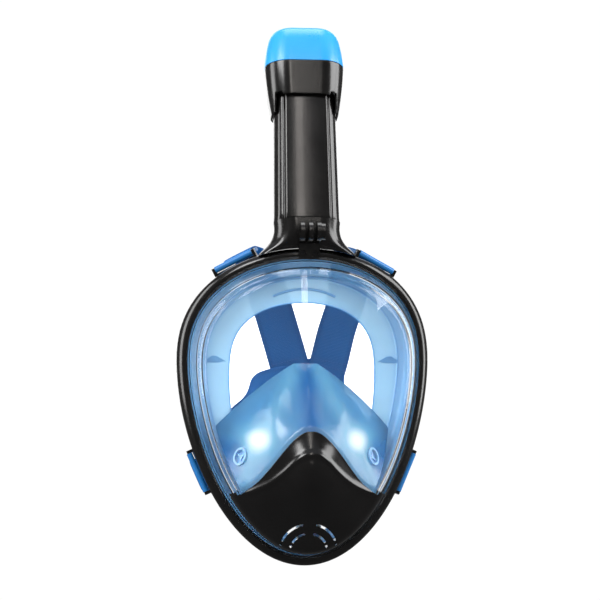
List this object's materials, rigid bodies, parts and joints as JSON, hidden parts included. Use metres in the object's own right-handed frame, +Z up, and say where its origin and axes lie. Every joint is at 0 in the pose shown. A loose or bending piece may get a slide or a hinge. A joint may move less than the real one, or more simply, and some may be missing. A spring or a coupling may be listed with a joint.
{
  "type": "snorkel mask",
  "caption": "Full-face snorkel mask with clear bent lens, silicone skirt and nose pocket, lift-off three-channel snorkel with float valve, hinged strap buckles and camera fork.",
  "frame": {"origin": "centre of the face opening, on the plane where the forehead rests", "axes": "+X to the wearer's left as seen from the front's right, +Y from the lens towards the wearer's head, +Z up"},
  "size_m": [0.1972, 0.2, 0.4163],
  "materials": {
    "black_plastic": "glossy moulded plastic",
    "clear_lens": "clear polycarbonate",
    "blue_silicone": "translucent light blue silicone",
    "blue_plastic": "bright blue moulded plastic",
    "black_rubber": "matt rubber",
    "clear_silicone": "thin translucent silicone",
    "strap_fabric": "woven elastic",
    "steel": "stainless steel",
    "float_plastic": "closed foam plastic",
    "inner_plastic": "moulded plastic"
  },
  "bodies": {
    "mask": {"buckle_pins": "steel", "camera_mount": "black_plastic", "camera_nut": "steel", "chin_cover": "black_plastic", "face_skirt": "blue_silicone", "front_frame": "black_plastic", "inhale_seat_left": "inner_plastic", "inhale_seat_right": "inner_plastic", "lens": "clear_lens", "lower_strap_left": "strap_fabric", "lower_strap_right": "strap_fabric", "mount_screws": "steel", "nose_pocket": "blue_silicone", "purge_valve_seat": "inner_plastic", "rear_frame": "black_plastic", "snorkel_socket": "black_plastic", "socket_seal": "black_rubber", "strap_patch": "strap_fabric", "upper_strap_left": "strap_fabric", "upper_strap_right": "strap_fabric"},
    "snorkel": {"snorkel_tube": "black_plastic", "tube_gasket": "black_rubber", "head_housing": "black_plastic", "head_cap": "blue_plastic", "float_seat": "inner_plastic", "float_cage": "inner_plastic"},
    "float": {"float": "float_plastic", "float_seal": "black_rubber"},
    "release_button": {"release_button": "black_plastic"},
    "purge_flap": {"purge_valve_flap": "clear_silicone"},
    "inhale_flap_left": {"inhale_flap_left": "clear_silicone"},
    "exhale_flap_left": {"exhale_flap_left": "clear_silicone"},
    "inhale_flap_right": {"inhale_flap_right": "clear_silicone"},
    "exhale_flap_right": {"exhale_flap_right": "clear_silicone"},
    "buckle_upper_left": {"buckle_upper_left": "blue_plastic", "strap_tail_upper_left": "strap_fabric"},
    "buckle_upper_right": {"buckle_upper_right": "blue_plastic", "strap_tail_upper_right": "strap_fabric"},
    "buckle_lower_left": {"buckle_lower_left": "blue_plastic", "strap_tail_lower_left": "strap_fabric"},
    "buckle_lower_right": {"buckle_lower_right": "blue_plastic", "strap_tail_lower_right": "strap_fabric"}
  },
  "joints": [
    {"name": "snorkel_pull", "type": "slide", "parent": "mask", "child": "snorkel", "axis": [0, 0.2756, 0.9613], "range_m": [0, 0.03]},
    {"name": "float_rise", "type": "slide", "parent": "snorkel", "child": "float", "axis": [0, 0.2756, 0.9613], "range_m": [0, 0.006]},
    {"name": "release_press", "type": "slide", "parent": "mask", "child": "release_button", "axis": [0, -1, 0], "range_m": [0, 0.0012], "stiffness_N_per_m": 600, "springref_m": -0.0005},
    {"name": "purge_open", "type": "slide", "parent": "mask", "child": "purge_flap", "axis": [0, -0.9511, -0.309], "range_m": [0, 0.001], "stiffness_N_per_m": 60, "springref_m": -0.0005},
    {"name": "inhale_open_left", "type": "slide", "parent": "mask", "child": "inhale_flap_left", "axis": [0.7725, 0.5686, -0.2828], "range_m": [0, 0.0012], "stiffness_N_per_m": 60, "springref_m": -0.0005},
    {"name": "exhale_open_left", "type": "slide", "parent": "snorkel", "child": "exhale_flap_left", "axis": [0, 0.2756, 0.9613], "range_m": [0, 0.0015], "stiffness_N_per_m": 60, "springref_m": -0.0005},
    {"name": "inhale_open_right", "type": "slide", "parent": "mask", "child": "inhale_flap_right", "axis": [-0.7725, 0.5686, -0.2828], "range_m": [0, 0.0012], "stiffness_N_per_m": 60, "springref_m": -0.0005},
    {"name": "exhale_open_right", "type": "slide", "parent": "snorkel", "child": "exhale_flap_right", "axis": [0, 0.2756, 0.9613], "range_m": [0, 0.0015], "stiffness_N_per_m": 60, "springref_m": -0.0005},
    {"name": "buckle_upper_left_hinge", "type": "hinge", "parent": "mask", "child": "buckle_upper_left", "pos_m": [-0.05522, -0.0066, 0.1125], "axis": [0.8507, -0.2785, 0.4458], "range_deg": [-15, 45]},
    {"name": "buckle_upper_right_hinge", "type": "hinge", "parent": "mask", "child": "buckle_upper_right", "pos_m": [0.05522, -0.0066, 0.1125], "axis": [0.8507, 0.2785, -0.4458], "range_deg": [-15, 45]},
    {"name": "buckle_lower_left_hinge", "type": "hinge", "parent": "mask", "child": "buckle_lower_left", "pos_m": [-0.08151, 0.00093, -0.05176], "axis": [-0.4007, 0.199, 0.8943], "range_deg": [-15, 45]},
    {"name": "buckle_lower_right_hinge", "type": "hinge", "parent": "mask", "child": "buckle_lower_right", "pos_m": [0.08151, 0.00093, -0.05176], "axis": [-0.4007, -0.199, -0.8943], "range_deg": [-15, 45]}
  ]
}
